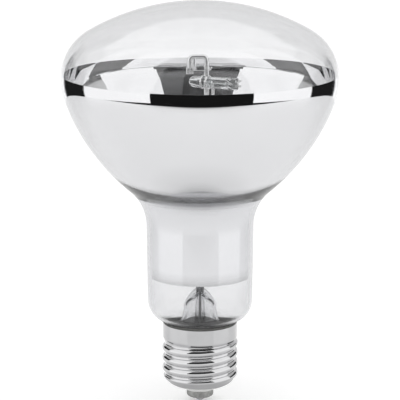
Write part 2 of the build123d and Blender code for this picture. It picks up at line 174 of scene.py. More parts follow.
def add_noise(material, scale, stretch=EVEN):
    """Noise on Object coordinates, stretched by a Mapping node. Returns its output from 0 to 1."""
    tree = material.node_tree
    mapping = add_node(tree, "Mapping", Scale=stretch)
    noise = add_node(tree, "TexNoise", Scale=scale, Detail=NOISE_DETAIL)
    tree.links.new(add_node(tree, "TexCoord").outputs["Object"], mapping.inputs["Vector"])
    tree.links.new(mapping.outputs["Vector"], noise.inputs["Vector"])
    return noise.outputs["Fac"]


def roughen(material, value, low, high):
    """Sends noise to the roughness as a range from low to high."""
    tree = material.node_tree
    scale = add_node(tree, "MapRange", From_Min=NOISE_LOW, From_Max=NOISE_HIGH, To_Min=low, To_Max=high)
    tree.links.new(value, scale.inputs["Value"])
    tree.links.new(scale.outputs["Result"], tree.nodes["Principled BSDF"].inputs["Roughness"])


def tint(material, value, low, high):
    """Mixes the base colour between two colours by noise."""
    tree = material.node_tree
    ramp = add_node(tree, "ValToRGB")
    ramp.color_ramp.elements[0].position = NOISE_LOW
    ramp.color_ramp.elements[0].color = (*low, 1)
    ramp.color_ramp.elements[1].position = NOISE_HIGH
    ramp.color_ramp.elements[1].color = (*high, 1)
    tree.links.new(value, ramp.inputs["Fac"])
    tree.links.new(ramp.outputs["Color"], tree.nodes["Principled BSDF"].inputs["Base Color"])


def dent(material, value, depth):
    """Bumps the surface by a 0 to 1 value times a depth in millimetres."""
    tree = material.node_tree
    bump = add_node(tree, "Bump", Strength=1.0, Distance=depth * MM)
    tree.links.new(value, bump.inputs["Height"])
    tree.links.new(bump.outputs["Normal"], tree.nodes["Principled BSDF"].inputs["Normal"])


def worked_finish(name, clouds, dark, light, marks, smooth, rough, stretches=(EVEN, EVEN), **sockets):
    """A finish that is nowhere quite even. A noise of the scale clouds moves its colour from dark to
    light, and one of the scale marks moves its roughness. The two stretches go with them."""
    material = new_finish(name, **sockets)
    tint(material, add_noise(material, clouds, stretches[0]), dark, light)
    roughen(material, add_noise(material, marks, stretches[1]), smooth, rough)
    return material


# %% [markdown]
# ## Tones that change along a piece
# The film thins out at its lower edge, and the shell's plain skirt is painted darker than its thread,
# a painted shade for the darker surroundings that the skirt mirrors. Each such piece could be cut in
# two, but then a hard line would show. A ramp over the height changes one material softly, and the
# studio's greys use the same ramp.

# %% Ramps and mixes


def greys(tree, value, stops, unit=1.0):
    """Grey by a value: stops are pairs of (value in units, grey) in rising order, and between them
    the grey runs in straight lines."""
    low, high = stops[0][0] * unit, stops[-1][0] * unit
    scale = add_node(tree, "MapRange", From_Min=low, From_Max=high)
    ramp = add_node(tree, "ValToRGB")
    elements = ramp.color_ramp.elements
    for place, grey in stops[1:-1]:
        elements.new((place * unit - low) / (high - low)).color = (grey, grey, grey, 1)
    elements[0].color = (stops[0][1],) * 3 + (1,)
    elements[-1].color = (stops[-1][1],) * 3 + (1,)
    tree.links.new(value, scale.inputs["Value"])
    tree.links.new(scale.outputs["Result"], ramp.inputs["Fac"])
    return ramp.outputs["Color"]


def place_parts(tree):
    """The point's X, Y and Z in the piece's own coordinates, in metres."""
    parts = add_node(tree, "SeparateXYZ")
    tree.links.new(add_node(tree, "TexCoord").outputs["Object"], parts.inputs["Vector"])
    return parts.outputs


def height_greys(tree, stops):
    """Grey by the height of the point: stops are (millimetres, grey)."""
    return greys(tree, place_parts(tree)["Z"], stops, MM)


def multiplied(tree, first, second):
    """The product of two colours."""
    product = add_node(tree, "Mix")
    product.data_type = "RGBA"
    product.blend_type = "MULTIPLY"
    product.inputs["Factor"].default_value = 1.0
    tree.links.new(first, product.inputs["A"])
    tree.links.new(second, product.inputs["B"])
    return product.outputs["Result"]


def lay_over(tree, share, under, over):
    """Mixes two shaders by a share, makes the mix the material's surface and returns it."""
    mix = add_node(tree, "MixShader")
    tree.links.new(share, mix.inputs["Fac"])
    tree.links.new(under, mix.inputs[1])
    tree.links.new(over, mix.inputs[2])
    tree.links.new(mix.outputs["Shader"], tree.nodes["Material Output"].inputs["Surface"])
    return mix


def shade_by_height(material, stops):
    """Multiplies the base colour by a grey that depends on the height."""
    tree = material.node_tree
    colour = tree.nodes["Principled BSDF"].inputs["Base Color"]
    shaded = multiplied(tree, colour.links[0].from_socket, height_greys(tree, stops))
    tree.links.new(shaded, colour)


def dull_by_height(material, stops):
    """Adds a roughness that depends on the height."""
    tree = material.node_tree
    roughness = tree.nodes["Principled BSDF"].inputs["Roughness"]
    total = add_node(tree, "Math")
    total.operation = "ADD"
    tree.links.new(roughness.links[0].from_socket, total.inputs[0])
    tree.links.new(height_greys(tree, stops), total.inputs[1])
    tree.links.new(total.outputs["Value"], roughness)


# %% [markdown]
# ## Glass
# Bulb glass is clear, but it takes a little of the light, so it looks grey where it is seen edge on.
# A grey painted by the angle of view could stand in for that. A real wall with an absorbing volume
# is chosen, because it also bends the light. At the seal the glass is bonded to the dark cement, and
# there the shader turns from glass to grey. The grey reaches higher in front than behind, and that
# extra grey in front is painted shade: the shadow in the gap between glass and cap.

# %% Bulb glass and stem glass
# The seal's dark grey is the cement. Where it stands higher in front, it is painted shade.
SEALED, CLEAR, SEAL_SHADE_TILT = 27.15, 28.75, 0.075
CEMENT_AND_SHADE_GREY = (0.08, 0.08, 0.08, 1)
GLASS_TINT, GLASS_DEPTH, GLASS_INDEX = (0.50, 0.51, 0.55, 1), 155.0, 1.5


def glass_finish(name, colour):
    """Glass with an absorbing volume. Below the seal's level it turns into a dark grey, which is the
    cement
    and, in front, partly painted shade: the level is the height plus a share of the depth, so that the
    dark edge is higher in front."""
    material = new_finish(
        name, Base_Color=colour, Roughness=0.0, IOR=GLASS_INDEX, Transmission_Weight=1.0
    )
    tree = material.node_tree
    depth = add_node(tree, "VolumeAbsorption", Color=GLASS_TINT, Density=GLASS_DEPTH)
    tree.links.new(depth.outputs["Volume"], tree.nodes["Material Output"].inputs["Volume"])
    parts = place_parts(tree)
    level = add_node(tree, "Math")
    level.operation = "MULTIPLY_ADD"
    level.inputs[1].default_value = SEAL_SHADE_TILT
    below = add_node(tree, "MapRange", From_Min=CLEAR * MM, From_Max=SEALED * MM)
    below.interpolation_type = "SMOOTHSTEP"
    tree.links.new(parts["Y"], level.inputs[0])
    tree.links.new(parts["Z"], level.inputs[2])
    tree.links.new(level.outputs["Value"], below.inputs["Value"])
    dark = add_node(tree, "BsdfDiffuse", Color=CEMENT_AND_SHADE_GREY)
    glass = tree.nodes["Principled BSDF"].outputs["BSDF"]
    lay_over(tree, below.outputs["Result"], glass, dark.outputs["BSDF"])
    return material


blown_glass = glass_finish("blown_glass", (0.98, 0.98, 0.98, 1))
tint(blown_glass, add_noise(blown_glass, 30), (0.978, 0.978, 0.978), (0.984, 0.984, 0.984))
# Painted shade: below 40 mm the clear glass of the neck is made a little darker.
shade_by_height(blown_glass, [(40.0, 0.965), (45.0, 1.0)])
stem_glass = glass_finish("stem_glass", (0.99, 0.99, 0.99, 1))
print("Glass finishes:", blown_glass.name, stem_glass.name)

# %% [markdown]
# ## Quartz and mirror film
# The burner is fused quartz, clearer than the bulb's glass, with a polish that is a little uneven.
# The mirror is a metal film, so it could be one flat, bright metal. On the real lamp it thins out and
# greys at its lower edge, and it is duller in the throat, so ramps over the height change its tone
# and its roughness. The tone ramp also makes the bowl a little darker than the neck, a painted shade
# on what the bowl mirrors.

# %% Quartz and film
# Tone by height: the lower edge greys as the film thins, and from 68 mm up the bowl is painted a little
# darker as shade.
FILM_TONE_AND_SHADE = [
    (43.8, 0.69), (44.5, 0.77), (45.8, 0.89), (48.0, 1.0), (68.0, 1.0), (79.0, 0.955), (115.0, 0.965)
]
FILM_DULL = [
    (70.8, 0.0), (71.8, 0.34), (74.0, 0.32), (75.7, 0.24), (76.4, 0.16), (78.4, 0.16), (79.4, 0.0)
]

fused_quartz = new_finish(
    "fused_quartz", Base_Color=(0.97, 0.98, 0.98, 1), IOR=1.46, Transmission_Weight=1.0
)
roughen(fused_quartz, add_noise(fused_quartz, 800), 0.0, 0.04)

vapour_mirror = worked_finish(
    "vapour_mirror", clouds=40, dark=(0.96, 0.96, 0.965), light=(0.98, 0.98, 0.985),
    marks=60, smooth=0.01, rough=0.03, Metallic=1.0,
)
shade_by_height(vapour_mirror, FILM_TONE_AND_SHADE)
dull_by_height(vapour_mirror, FILM_DULL)
print("Clear and mirrored finishes:", fused_quartz.name, vapour_mirror.name)

# %% [markdown]
# ## Metals of the mount
# The mount is wire drawn through dies, rolled sheet, thin foil and one ceramic bead. One grey metal
# could serve for all, but each takes the light in its own way. So each has its own tone and
# roughness. On the stout wire and the sheet, noise stretched along the work stands for the marks of
# dies and rolls.

# %% Wire, sheet, foil and bead
drawn_nickel = worked_finish(
    "drawn_nickel", clouds=900, dark=(0.92, 0.92, 0.92), light=(0.97, 0.97, 0.97),
    marks=2500, smooth=0.20, rough=0.28, stretches=((1, 1, 0.1), (1, 1, 0.08)), Metallic=1.0,
)

rolled_sheet = worked_finish(
    "rolled_sheet", clouds=400, dark=(0.72, 0.72, 0.72), light=(0.82, 0.82, 0.82),
    marks=3000, smooth=0.12, rough=0.25, stretches=(EVEN, (1, 0.1, 1)), Metallic=1.0,
)

drawn_tungsten = worked_finish(
    "drawn_tungsten", clouds=1500, dark=(0.24, 0.24, 0.25), light=(0.38, 0.38, 0.39),
    marks=4000, smooth=0.35, rough=0.55, Metallic=1.0,
)

drawn_molybdenum = worked_finish(
    "drawn_molybdenum", clouds=1200, dark=(0.46, 0.46, 0.48), light=(0.60, 0.60, 0.62),
    marks=3000, smooth=0.25, rough=0.40, Metallic=1.0,
)

# Painted sheen: the foils are near white, far lighter than molybdenum, so that the pinch shows white
# through the quartz.
etched_foil_painted_sheen = worked_finish(
    "etched_foil_painted_sheen", clouds=1200, dark=(0.92, 0.92, 0.92), light=(0.97, 0.97, 0.97),
    marks=3000, smooth=0.55, rough=0.70, Metallic=1.0,
)

polished_cup = worked_finish(
    "polished_cup", clouds=1500, dark=(0.76, 0.76, 0.76), light=(0.86, 0.86, 0.86),
    marks=4000, smooth=0.06, rough=0.16, Metallic=1.0,
)

fired_bead = worked_finish(
    "fired_bead", clouds=700, dark=(0.80, 0.78, 0.74), light=(0.90, 0.89, 0.86),
    marks=2500, smooth=0.55, rough=0.75,
)
dent(fired_bead, add_noise(fired_bead, 5000), 0.03)
print("Finishes of the mount made")

# %% [markdown]
# ## Finishes of the cap
# The shell is brass with a bright plate, which shows as a curved mirror, so only a trace of
# roughness is left in it. The insulator and the cement are dull and grainy, and a bump gives them
# their grain. Modelled grains would look the same at this size and cost many faces.

# %% Plate, ceramic, contact, solder and cement
plated_shell = worked_finish(
    "plated_shell", clouds=300, dark=(0.74, 0.74, 0.75), light=(0.78, 0.78, 0.79),
    marks=1800, smooth=0.03, rough=0.07, stretches=(EVEN, (1, 1, 0.3)), Metallic=1.0,
)
# Painted shade: above 21.6 mm the skirt is darker than the thread, for the darker surroundings it
# mirrors.
shade_by_height(plated_shell, [(20.0, 0.84), (21.6, 0.72)])

moulded_ceramic = worked_finish(
    "moulded_ceramic", clouds=600, dark=(0.62, 0.62, 0.61), light=(0.76, 0.76, 0.75),
    marks=2500, smooth=0.45, rough=0.65,
)
dent(moulded_ceramic, add_noise(moulded_ceramic, 4000), 0.03)

dull_contact = worked_finish(
    "dull_contact", clouds=900, dark=(0.34, 0.34, 0.33), light=(0.50, 0.50, 0.49),
    marks=3000, smooth=0.30, rough=0.50, Metallic=1.0,
)

solder_tin = worked_finish(
    "solder_tin", clouds=1500, dark=(0.45, 0.45, 0.46), light=(0.62, 0.62, 0.63),
    marks=3000, smooth=0.25, rough=0.45, Metallic=1.0,
)
dent(solder_tin, add_noise(solder_tin, 1500), 0.08)

basing_cement = worked_finish(
    "basing_cement", clouds=1800, dark=(0.07, 0.07, 0.07), light=(0.16, 0.16, 0.15),
    marks=3000, smooth=0.7, rough=0.9,
)
dent(basing_cement, add_noise(basing_cement, 6000), 0.05)
print("Finishes of the cap made")

# %% [markdown]
# ## The blown bulb
# A bulb is blown into a mould, so its outline is a few arcs that flow into each other: face, rim,
# bowl, flare, neck, shoulder. A free curve could follow the photo, but would wobble where a mirror
# shows it most. Tangent arcs flow exactly, and where two touch, their centres lie in line.

# %% The bulb's outline
BULB_R, RIM_RADIUS, RIM_Z = 47.5, 18.75, 112.0
RIM = (BULB_R - RIM_RADIUS, RIM_Z)
APEX = 138.4
BOWL_RADIUS, FLARE_RADIUS = 76.0, 17.2
NECK_R, NECK_LENGTH, NECK_LEAN = 18.13, 26.5, radians(0.7)
SEAL_R, SEAL_FILLET, SEAL_Z = 11.8, 1.2, 24.6
SEAL = (SEAL_R + SEAL_FILLET, 26.65)
SHOULDER_RADIUS = 7.3
SHOULDER = (NECK_R - SHOULDER_RADIUS, 34.9)


def bearing(start, end):
    """Angle of the line from one centre to another."""
    return atan2(end[1] - start[1], end[0] - start[0])


def crossing(first, first_r, second, second_r):
    """Where two circles cross, on the right of the way from the first centre to the second. The step
    along it is (first radius squared - second squared + distance squared) / (2 distance), and the step
    across closes the right triangle with the first radius."""
    way = (second[0] - first[0], second[1] - first[1])
    apart = hypot(*way)
    unit = (way[0] / apart, way[1] / apart)
    along = (first_r**2 - second_r**2 + apart**2) / (2 * apart)
    across = sqrt(first_r**2 - along**2)
    return first[0] + unit[0] * along + unit[1] * across, first[1] + unit[1] * along - unit[0] * across


neck_normal = np.array([cos(NECK_LEAN), -sin(NECK_LEAN)])
neck_foot = SHOULDER + SHOULDER_RADIUS * neck_normal
neck_head = neck_foot + NECK_LENGTH * np.array([sin(NECK_LEAN), cos(NECK_LEAN)])
flare = neck_head + FLARE_RADIUS * neck_normal
face_rise = APEX - RIM_Z
face_radius = (RIM[0] ** 2 + face_rise**2 - RIM_RADIUS**2) / (2 * (face_rise - RIM_RADIUS))
face = (0.0, APEX - face_radius)
bowl = crossing(RIM, BOWL_RADIUS - RIM_RADIUS, flare, BOWL_RADIUS + FLARE_RADIUS)
face_end, rim_end = bearing(face, RIM), bearing(bowl, RIM)
bowl_end, shoulder_end = bearing(bowl, flare), bearing(SHOULDER, SEAL)
outer = np.concatenate([
    arc(face, face_radius, pi / 2, face_end, 40),
    arc(RIM, RIM_RADIUS, face_end, rim_end, 48)[1:],
    arc(bowl, BOWL_RADIUS, rim_end, bowl_end, 60)[1:],
    arc(flare, FLARE_RADIUS, bowl_end + pi, pi - NECK_LEAN, 40)[1:],
    run(neck_head, neck_foot, count=24)[1:],
    arc(SHOULDER, SHOULDER_RADIUS, -NECK_LEAN, shoulder_end, 24)[1:],
    arc(SEAL, SEAL_FILLET, shoulder_end + pi, pi, 10)[1:],
    run((SEAL_R, SEAL[1]), (SEAL_R, SEAL_Z))[1:],
])
print("Outline points:", len(outer), "widest in mm:", round(outer[:, 0].max(), 2))

# %% [markdown]
# ## The bulb's wall
# Blowing stretches the bowl thin and leaves the neck thicker. An even wall would be simpler, but the
# dark crescent in the throat comes from the wedge where the wall changes, which turns the mirrored
# light aside. So the inner line is the outer one set in by a wall that grows down the throat and
# thins again where the shoulder was worked.

# %% The bulb's glass
WALL = 0.9
THICKENS, STEEP = (71.5, 71.9, 76.0, 79.3), (0, 0.084, 0.084, 0)
THINS = (35.0, 30.0)
BULB_COLUMNS = 200


def fade(value, start, end):
    """A smooth step from 0 at start to 1 at end."""
    share = np.clip((value - start) / (end - start), 0, 1)
    return share * share * (3 - 2 * share)


def set_in(extra):
    """The outer line moved inwards, square to itself, by the wall there and a bit extra. On the way
    down the wall grows by its steepness times the drop, and the growth fades out at the shoulder."""
    slope = np.gradient(outer, axis=0)
    slope /= np.linalg.norm(slope, axis=1, keepdims=True)
    inwards = np.stack([slope[:, 1], -slope[:, 0]], axis=-1)
    inwards[0] = (0, -1)
    inwards[-1] = (-1, 0)
    steep = np.interp(outer[:, 1], THICKENS, STEEP)
    grown = np.cumsum(-steep * np.gradient(outer[:, 1]))
    wall = WALL + grown * (1 - fade(outer[:, 1], *THINS))
    return outer + inwards * (wall + extra)[:, None]


glass_rows = lathe(np.concatenate([outer, set_in(0)[::-1]]), BULB_COLUMNS)
put_piece("bulb_glass", [glass_rows], blown_glass, ["glass_envelope"], sharp=60)

# %% [markdown]
# ## The mirror in the bowl
# Aluminium is boiled off inside the finished bulb and settles on the glass as a film. The face and
# the lower end of the neck are kept clear. The film could be a second material on the bulb's inner
# faces, but then one skin would be both glass and metal. So it is a very thin closed band that
# follows the inner wall a hair inside it, and the glass in front gives it its depth.

# %% The mirror coat
COAT_TOP, COAT_BOTTOM = 114.0, 43.8
FILM, HAIR = 0.1, 0.03
FILM_ROWS = 200


def film_face(extra):
    """The inner wall's line, a bit further in, cut to the height of the coat."""
    line = set_in(extra)[::-1]
    height = np.linspace(COAT_TOP, COAT_BOTTOM, FILM_ROWS)
    return np.stack([np.interp(height, line[:, 1], line[:, 0]), height], axis=-1)


film_outer, film_inner = film_face(HAIR), film_face(HAIR + FILM)
film_profile = np.concatenate([film_outer, film_inner[::-1], film_outer[:1]])
film_rows = lathe(film_profile, BULB_COLUMNS)
put_piece("mirror_film", [film_rows], vapour_mirror, ["reflector_coating"])

# %% [markdown]
# ## The screw cap
# The shell is thin brass, rolled between two wheels that press the round thread into it. A Screw
# modifier makes a helix, but not one that runs out. Here the radius rises and falls along the height
# as two arcs a pitch that meet without a corner: a broad one over the crest and a narrow one in the
# root. Turning the shell shifts that wave by one pitch a turn, which makes the helix, and at both
# ends the wave is faded out, as the rolling wheels leave it.

# %% The thread's wave
CORE_R, CREST_RISE, PITCH = 12.15, 1.05, 3.629
CREST_SHARE = 0.69


def thread_wave(turns):
    """Height of the thread, 0 at the root and 1 at the crest, for a place counted in pitches. The two
    radii together are (half pitch squared + rise squared) / (2 rise), shared out to crest and root."""
    half = PITCH / 2
    both = (half**2 + CREST_RISE**2) / (2 * CREST_RISE)
    crest_r, root_r = CREST_SHARE * both, (1 - CREST_SHARE) * both
    distance = np.abs(np.mod(turns + 0.5, 1) - 0.5) * PITCH
    crest = CREST_RISE - crest_r + np.sqrt(crest_r**2 - np.minimum(distance, CREST_SHARE * half) ** 2)
    root = root_r - np.sqrt(root_r**2 - np.minimum(half - distance, (1 - CREST_SHARE) * half) ** 2)
    return np.where(distance < CREST_SHARE * half, crest, root) / CREST_RISE


print("Wave at the crest, halfway and at the root:", thread_wave(np.array([0, 0.25, 0.5])).round(3))

# %% The threaded shell
CAP_WALL, CAP_EDGE = 0.35, 0.15
COLLAR_R, COLLAR_Z = 9.6, 5.0
CORE_Z, GROOVE_Z, SKIRT_Z, CAP_Z = 7.9, 20.65, 21.55, 27.0
SKIRT_R = 12.9
THREAD_Z = 5.16
RUN_IN, RUN_OUT = (COLLAR_Z + 0.6, CORE_Z + 0.8), (19.85, GROOVE_Z + 0.5)
THREAD_COLUMNS, THREAD_ROWS = 280, 240

belly = CORE_R - COLLAR_R
drop = CORE_Z - COLLAR_Z
belly_radius = (belly**2 + drop**2) / (2 * belly)
belly_profile = arc((CORE_R - belly_radius, CORE_Z), belly_radius, 0, -np.arcsin(drop / belly_radius), 24)
shell_line = np.concatenate([
    run((SKIRT_R - CAP_EDGE, CAP_Z), (SKIRT_R, CAP_Z - CAP_EDGE)),
    run((SKIRT_R, CAP_Z - 2 * CAP_EDGE), (SKIRT_R, SKIRT_Z), count=12),
    run((SKIRT_R, SKIRT_Z), (CORE_R, GROOVE_Z), count=10)[1:],
    run((CORE_R, GROOVE_Z), (CORE_R, CORE_Z), count=THREAD_ROWS)[1:],
    belly_profile[1:],
])
turn = np.linspace(0, 2 * pi, THREAD_COLUMNS, endpoint=False)
height = shell_line[:, 1, None]
strength = fade(height, *RUN_IN) * (1 - fade(height, *RUN_OUT))
wave = thread_wave((height - THREAD_Z) / PITCH - turn / (2 * pi))
shell_radius = shell_line[:, 0, None] + CREST_RISE * strength * wave
shell_height = np.broadcast_to(height, shell_radius.shape)
shell_outside = np.stack(
    [shell_radius * np.cos(turn), shell_radius * np.sin(turn), shell_height], axis=-1
)
bore_profile = np.concatenate([
    run((COLLAR_R, COLLAR_Z), (COLLAR_R, COLLAR_Z + CAP_WALL)),
    arc((CORE_R - CAP_WALL - belly_radius, CORE_Z), belly_radius, -0.9, 0, 12)[-6:],
    run((CORE_R - CAP_WALL, GROOVE_Z), (SKIRT_R - CAP_WALL, SKIRT_Z)),
    run((SKIRT_R - CAP_WALL, CAP_Z), (SKIRT_R - CAP_EDGE, CAP_Z)),
])
shell_rows = np.concatenate([shell_outside, lathe(bore_profile, THREAD_COLUMNS)])
put_piece("cap_thread", [shell_rows], plated_shell, ["cap_shell"])

# %% [markdown]
# ## The lower end of the cap
# Below the shell a pressed insulator keeps the contact apart from it, and the wire from inside comes
# out through the contact and is soldered. Cylinders with bevels would come near. These are turned
# shapes, so one lathe with a profile for each gives them with their true edges.

# %% Insulator
WIRE_HOLE_R = 0.75
INSULATOR_R, INSULATOR_TOP, INSULATOR_BASE, INSULATOR_FOOT_R = 10.9, 8.6, 0.52, 4.2
insulator_profile = np.concatenate([
    [(WIRE_HOLE_R, INSULATOR_TOP), (INSULATOR_R, INSULATOR_TOP)],
    [(INSULATOR_R, 7.4), (9.55, 5.6)],
    arc((9.05, 5.1), 0.5, 0, -pi / 3, 8),
    run((9.3, 4.62), (6.0, 3.25), count=6),
    arc((5.45, 3.35), 0.5, -pi / 6, -pi / 2, 8),
    [(INSULATOR_FOOT_R, 2.62), (INSULATOR_FOOT_R, INSULATOR_BASE)],
    [(WIRE_HOLE_R, INSULATOR_BASE), (WIRE_HOLE_R, INSULATOR_TOP)],
])
insulator_rows = lathe(insulator_profile)
put_piece("cap_insulator_ring", [insulator_rows], moulded_ceramic, ["cap_insulator"])

# %% Contact and solder
CONTACT_R, CONTACT_BORE_R, CONTACT_TOP, CONTACT_WALL = 4.7, 4.22, 2.6, 0.5
CONTACT_EDGE, CONTACT_LIP = 0.9, 0.15
BEAD_R, BEAD_DROP, BEAD_TOP, BEAD_WIRE_R = 1.8, 1.8, 0.45, 0.72
SIDE_POWER, DROP_POWER = 0.8, 1.1
contact_profile = np.concatenate([
    [(CONTACT_BORE_R, CONTACT_TOP)],
    arc((CONTACT_R - CONTACT_LIP, CONTACT_TOP - CONTACT_LIP), CONTACT_LIP, pi / 2, 0, 6),
    run((CONTACT_R, CONTACT_TOP - 2 * CONTACT_LIP), (CONTACT_R, CONTACT_EDGE)),
    arc((CONTACT_R - CONTACT_EDGE, CONTACT_EDGE), CONTACT_EDGE, 0, -pi / 2, 14)[1:],
    [(WIRE_HOLE_R, 0.0), (WIRE_HOLE_R, CONTACT_WALL)],
    [(CONTACT_BORE_R, CONTACT_WALL), (CONTACT_BORE_R, CONTACT_TOP)],
])
put_piece("contact_cup", [lathe(contact_profile)], dull_contact, ["contact_button"])

bead_turn = np.linspace(0, 1, 24) * pi / 2
bead_side = np.stack(
    [BEAD_R * np.cos(bead_turn) ** SIDE_POWER, -BEAD_DROP * np.sin(bead_turn) ** DROP_POWER], axis=-1
)
bead_profile = np.concatenate([[(0, BEAD_TOP), (BEAD_WIRE_R, BEAD_TOP), (BEAD_WIRE_R, 0.01)], bead_side])
put_piece("solder_bead", [lathe(bead_profile, 64)], solder_tin, ["contact_solder"])

# %% [markdown]
# ## The cement
# Cement fills the gap between shell and glass and stands a little above the shell as a dark line. A
# ring of one height would be simplest. In the photo the line is taller in front, so what stands above
# the shell is lowered from front to back, by nothing in front and all of it behind.

# %% The cement's ring
SKIN_GAP = 0.02
CEMENT_INNER_Z, CEMENT_TOP, CEMENT_RIM_Z = 26.9, (12.84, 27.84), 27.7
cement_foot = SEAL_Z + 0.1
cement_inner, cement_outer = SEAL_R + SKIN_GAP, SKIRT_R - CAP_WALL - SKIN_GAP
cement_profile = np.concatenate([
    [(cement_inner, CEMENT_INNER_Z)],
    arc(SEAL, SEAL_FILLET + SKIN_GAP, pi * 0.9, pi * 0.62, 10),
    [CEMENT_TOP, (SKIRT_R, CEMENT_RIM_Z), (SKIRT_R, CAP_Z + SKIN_GAP), (cement_outer, CAP_Z)],
    [(cement_outer, cement_foot), (cement_inner, cement_foot), (cement_inner, CEMENT_INNER_Z)],
])
cement_rows = lathe(cement_profile)
above_cap = np.maximum(cement_rows[..., 2] - CAP_Z, 0)
cement_rows[..., 2] -= above_cap * (0.5 + cement_rows[..., 1] / (2 * SKIRT_R))
put_piece("cement_ring", [cement_rows], basing_cement, ["cap_cement"])

# %% [markdown]
# ## The stem
# The stem is a glass tube, flared at the bottom where it is sealed to the bulb and squeezed flat at
# the top round the wires. It is hollow up to the press. Two shapes joined by a loft would do, but
# squeezing turns a round section into a flat one little by little. A superellipse does that with one
# number: at a power of 2 it is an ellipse, at 5 a rounded oblong.

# %% Sections of the stem
STEM_R, STEM_WALL, STEM_Z = 5.6, 1.0, 32.6
STEM_COLUMNS = 96
PRESS_HALF, PRESS_Z, PRESS_TOP = (1.45, 5.0), 38.0, 46.0
CROWN, CROWN_ROWS = 0.5, 8
ROUND_POWER, PRESS_POWER = 2.0, 5.0


def squeezed(half_x, half_y, power, height, columns=STEM_COLUMNS):
    """Rows of superellipses: x is the half width times the signed cosine to the power 2/n, and y the
    same with the sine. At n = 2 they are ellipses, and larger n makes the corners squarer."""
    turn = np.linspace(0, 2 * pi, columns, endpoint=False)
    bend = 2 / power[:, None]
    x = half_x[:, None] * np.sign(np.cos(turn)) * np.abs(np.cos(turn)) ** bend
    y = half_y[:, None] * np.sign(np.sin(turn)) * np.abs(np.sin(turn)) ** bend
    return np.stack([x, y, np.broadcast_to(height[:, None], x.shape)], axis=-1)


def flare_arc(radius, height, rim, rim_height, count=24):
    """The flare's profile: an arc that leaves the tube straight down and ends at the rim."""
    drop, reach = height - rim_height, rim - radius
    bend = (drop**2 + reach**2) / (2 * reach)
    return arc((radius + bend, height), bend, pi, pi + np.arcsin(drop / bend), count)


def press_half(half):
    """Half widths from the top down: the press's rounded crown, then from the press to the tube by
    one minus the square of how far up it is."""
    return np.concatenate([half - CROWN + CROWN * crown, half + (STEM_R - half) * (1 - flatness)])


def pole(height):
    """A row of points that all lie on the axis, which closes a skin."""
    return np.broadcast_to(np.array([0, 0, height]), (1, STEM_COLUMNS, 3))


squeeze = np.linspace(1, 0, 20)
flatness = squeeze**2
crown = np.sin(np.linspace(0, pi / 2, CROWN_ROWS))
press_half_x, press_half_y = press_half(PRESS_HALF[0]), press_half(PRESS_HALF[1])
press_power = np.concatenate([
    np.full(CROWN_ROWS, PRESS_POWER), ROUND_POWER + (PRESS_POWER - ROUND_POWER) * flatness
])
press_height = np.concatenate([
    PRESS_TOP - CROWN * (1 - np.sqrt(1 - (1 - crown) ** 2)), STEM_Z + (PRESS_Z - STEM_Z) * squeeze
])
press = squeezed(press_half_x, press_half_y, press_power, press_height)
print("Rows of the press:", len(press))

# %% The stem
HOLLOW_GAP = 0.6
stem_rim = SEAL_R - WALL
hollow_top = PRESS_Z - HOLLOW_GAP
skirt_profile = np.concatenate([
    flare_arc(STEM_R, STEM_Z, stem_rim, SEAL_Z)[1:],
    [(SEAL_R, SEAL_Z - SKIN_GAP), (SEAL_R, SEAL_Z - STEM_WALL)],
    flare_arc(STEM_R - STEM_WALL, STEM_Z, stem_rim, SEAL_Z - STEM_WALL)[:0:-1],
])
hollow = squeezed(
    press_half_x[CROWN_ROWS:][::-1] - STEM_WALL,
    press_half_y[CROWN_ROWS:][::-1] - STEM_WALL,
    press_power[CROWN_ROWS:][::-1],
    STEM_Z + (hollow_top - STEM_Z) * squeeze[::-1],
)
skirt_rows = lathe(skirt_profile, STEM_COLUMNS)
stem_rows = np.concatenate([pole(PRESS_TOP), press, skirt_rows, hollow, pole(hollow_top + 0.1)])
put_piece("glass_stem", [stem_rows], stem_glass, ["stem"])

# %% The exhaust tube
EXHAUST_R, EXHAUST_WALL, EXHAUST_TIP, EXHAUST_TOP = 1.7, 0.7, 11.5, 36.3
exhaust_bore = EXHAUST_R - EXHAUST_WALL
exhaust_bend = EXHAUST_TIP + EXHAUST_R
exhaust_profile = np.concatenate([
    run((EXHAUST_R, EXHAUST_TOP), (EXHAUST_R, exhaust_bend), count=12),
    arc((0, exhaust_bend), EXHAUST_R, 0, -pi / 2, 12)[1:],
    arc((0, exhaust_bend), exhaust_bore, -pi / 2, 0, 12),
    run((exhaust_bore, exhaust_bend + 0.1), (exhaust_bore, EXHAUST_TOP), count=12),
    [(EXHAUST_R, EXHAUST_TOP)],
])
put_piece("pumping_tube", [lathe(exhaust_profile, 48)], stem_glass, ["exhaust_tube"])

# %% [markdown]
# ## The burner
# The burner is a quartz tube, closed round at one end. The other end is heated soft and pinched flat
# round two thin foils, which carry the current through the quartz without cracking it. A tube and a
# block could be joined, but the quartz flows from one to the other. The section goes from a circle to
# an oblong, so the superellipse serves again, this time along the tube.

# %% The burner's directions
BURNER_ORIGIN = np.array([2.165, -6.025, 111.9])
BURNER_TURN = radians(25)
BURNER_COLUMNS = 64
burner_x = np.array([cos(BURNER_TURN), -sin(BURNER_TURN), 0])
burner_y = np.array([sin(BURNER_TURN), cos(BURNER_TURN), 0])
burner_z = np.array([0, 0, 1.0])


def in_burner(rows):
    """Places rows made as (depth, height, length) along the burner's own three directions. Their order
    is turned round, so that the faces point outwards."""
    depth, height, length = rows[..., 0:1], rows[..., 1:2], rows[..., 2:3]
    return (BURNER_ORIGIN + depth * burner_y + height * burner_z + length * burner_x)[::-1]


print("Burner points along:", burner_x.round(3))

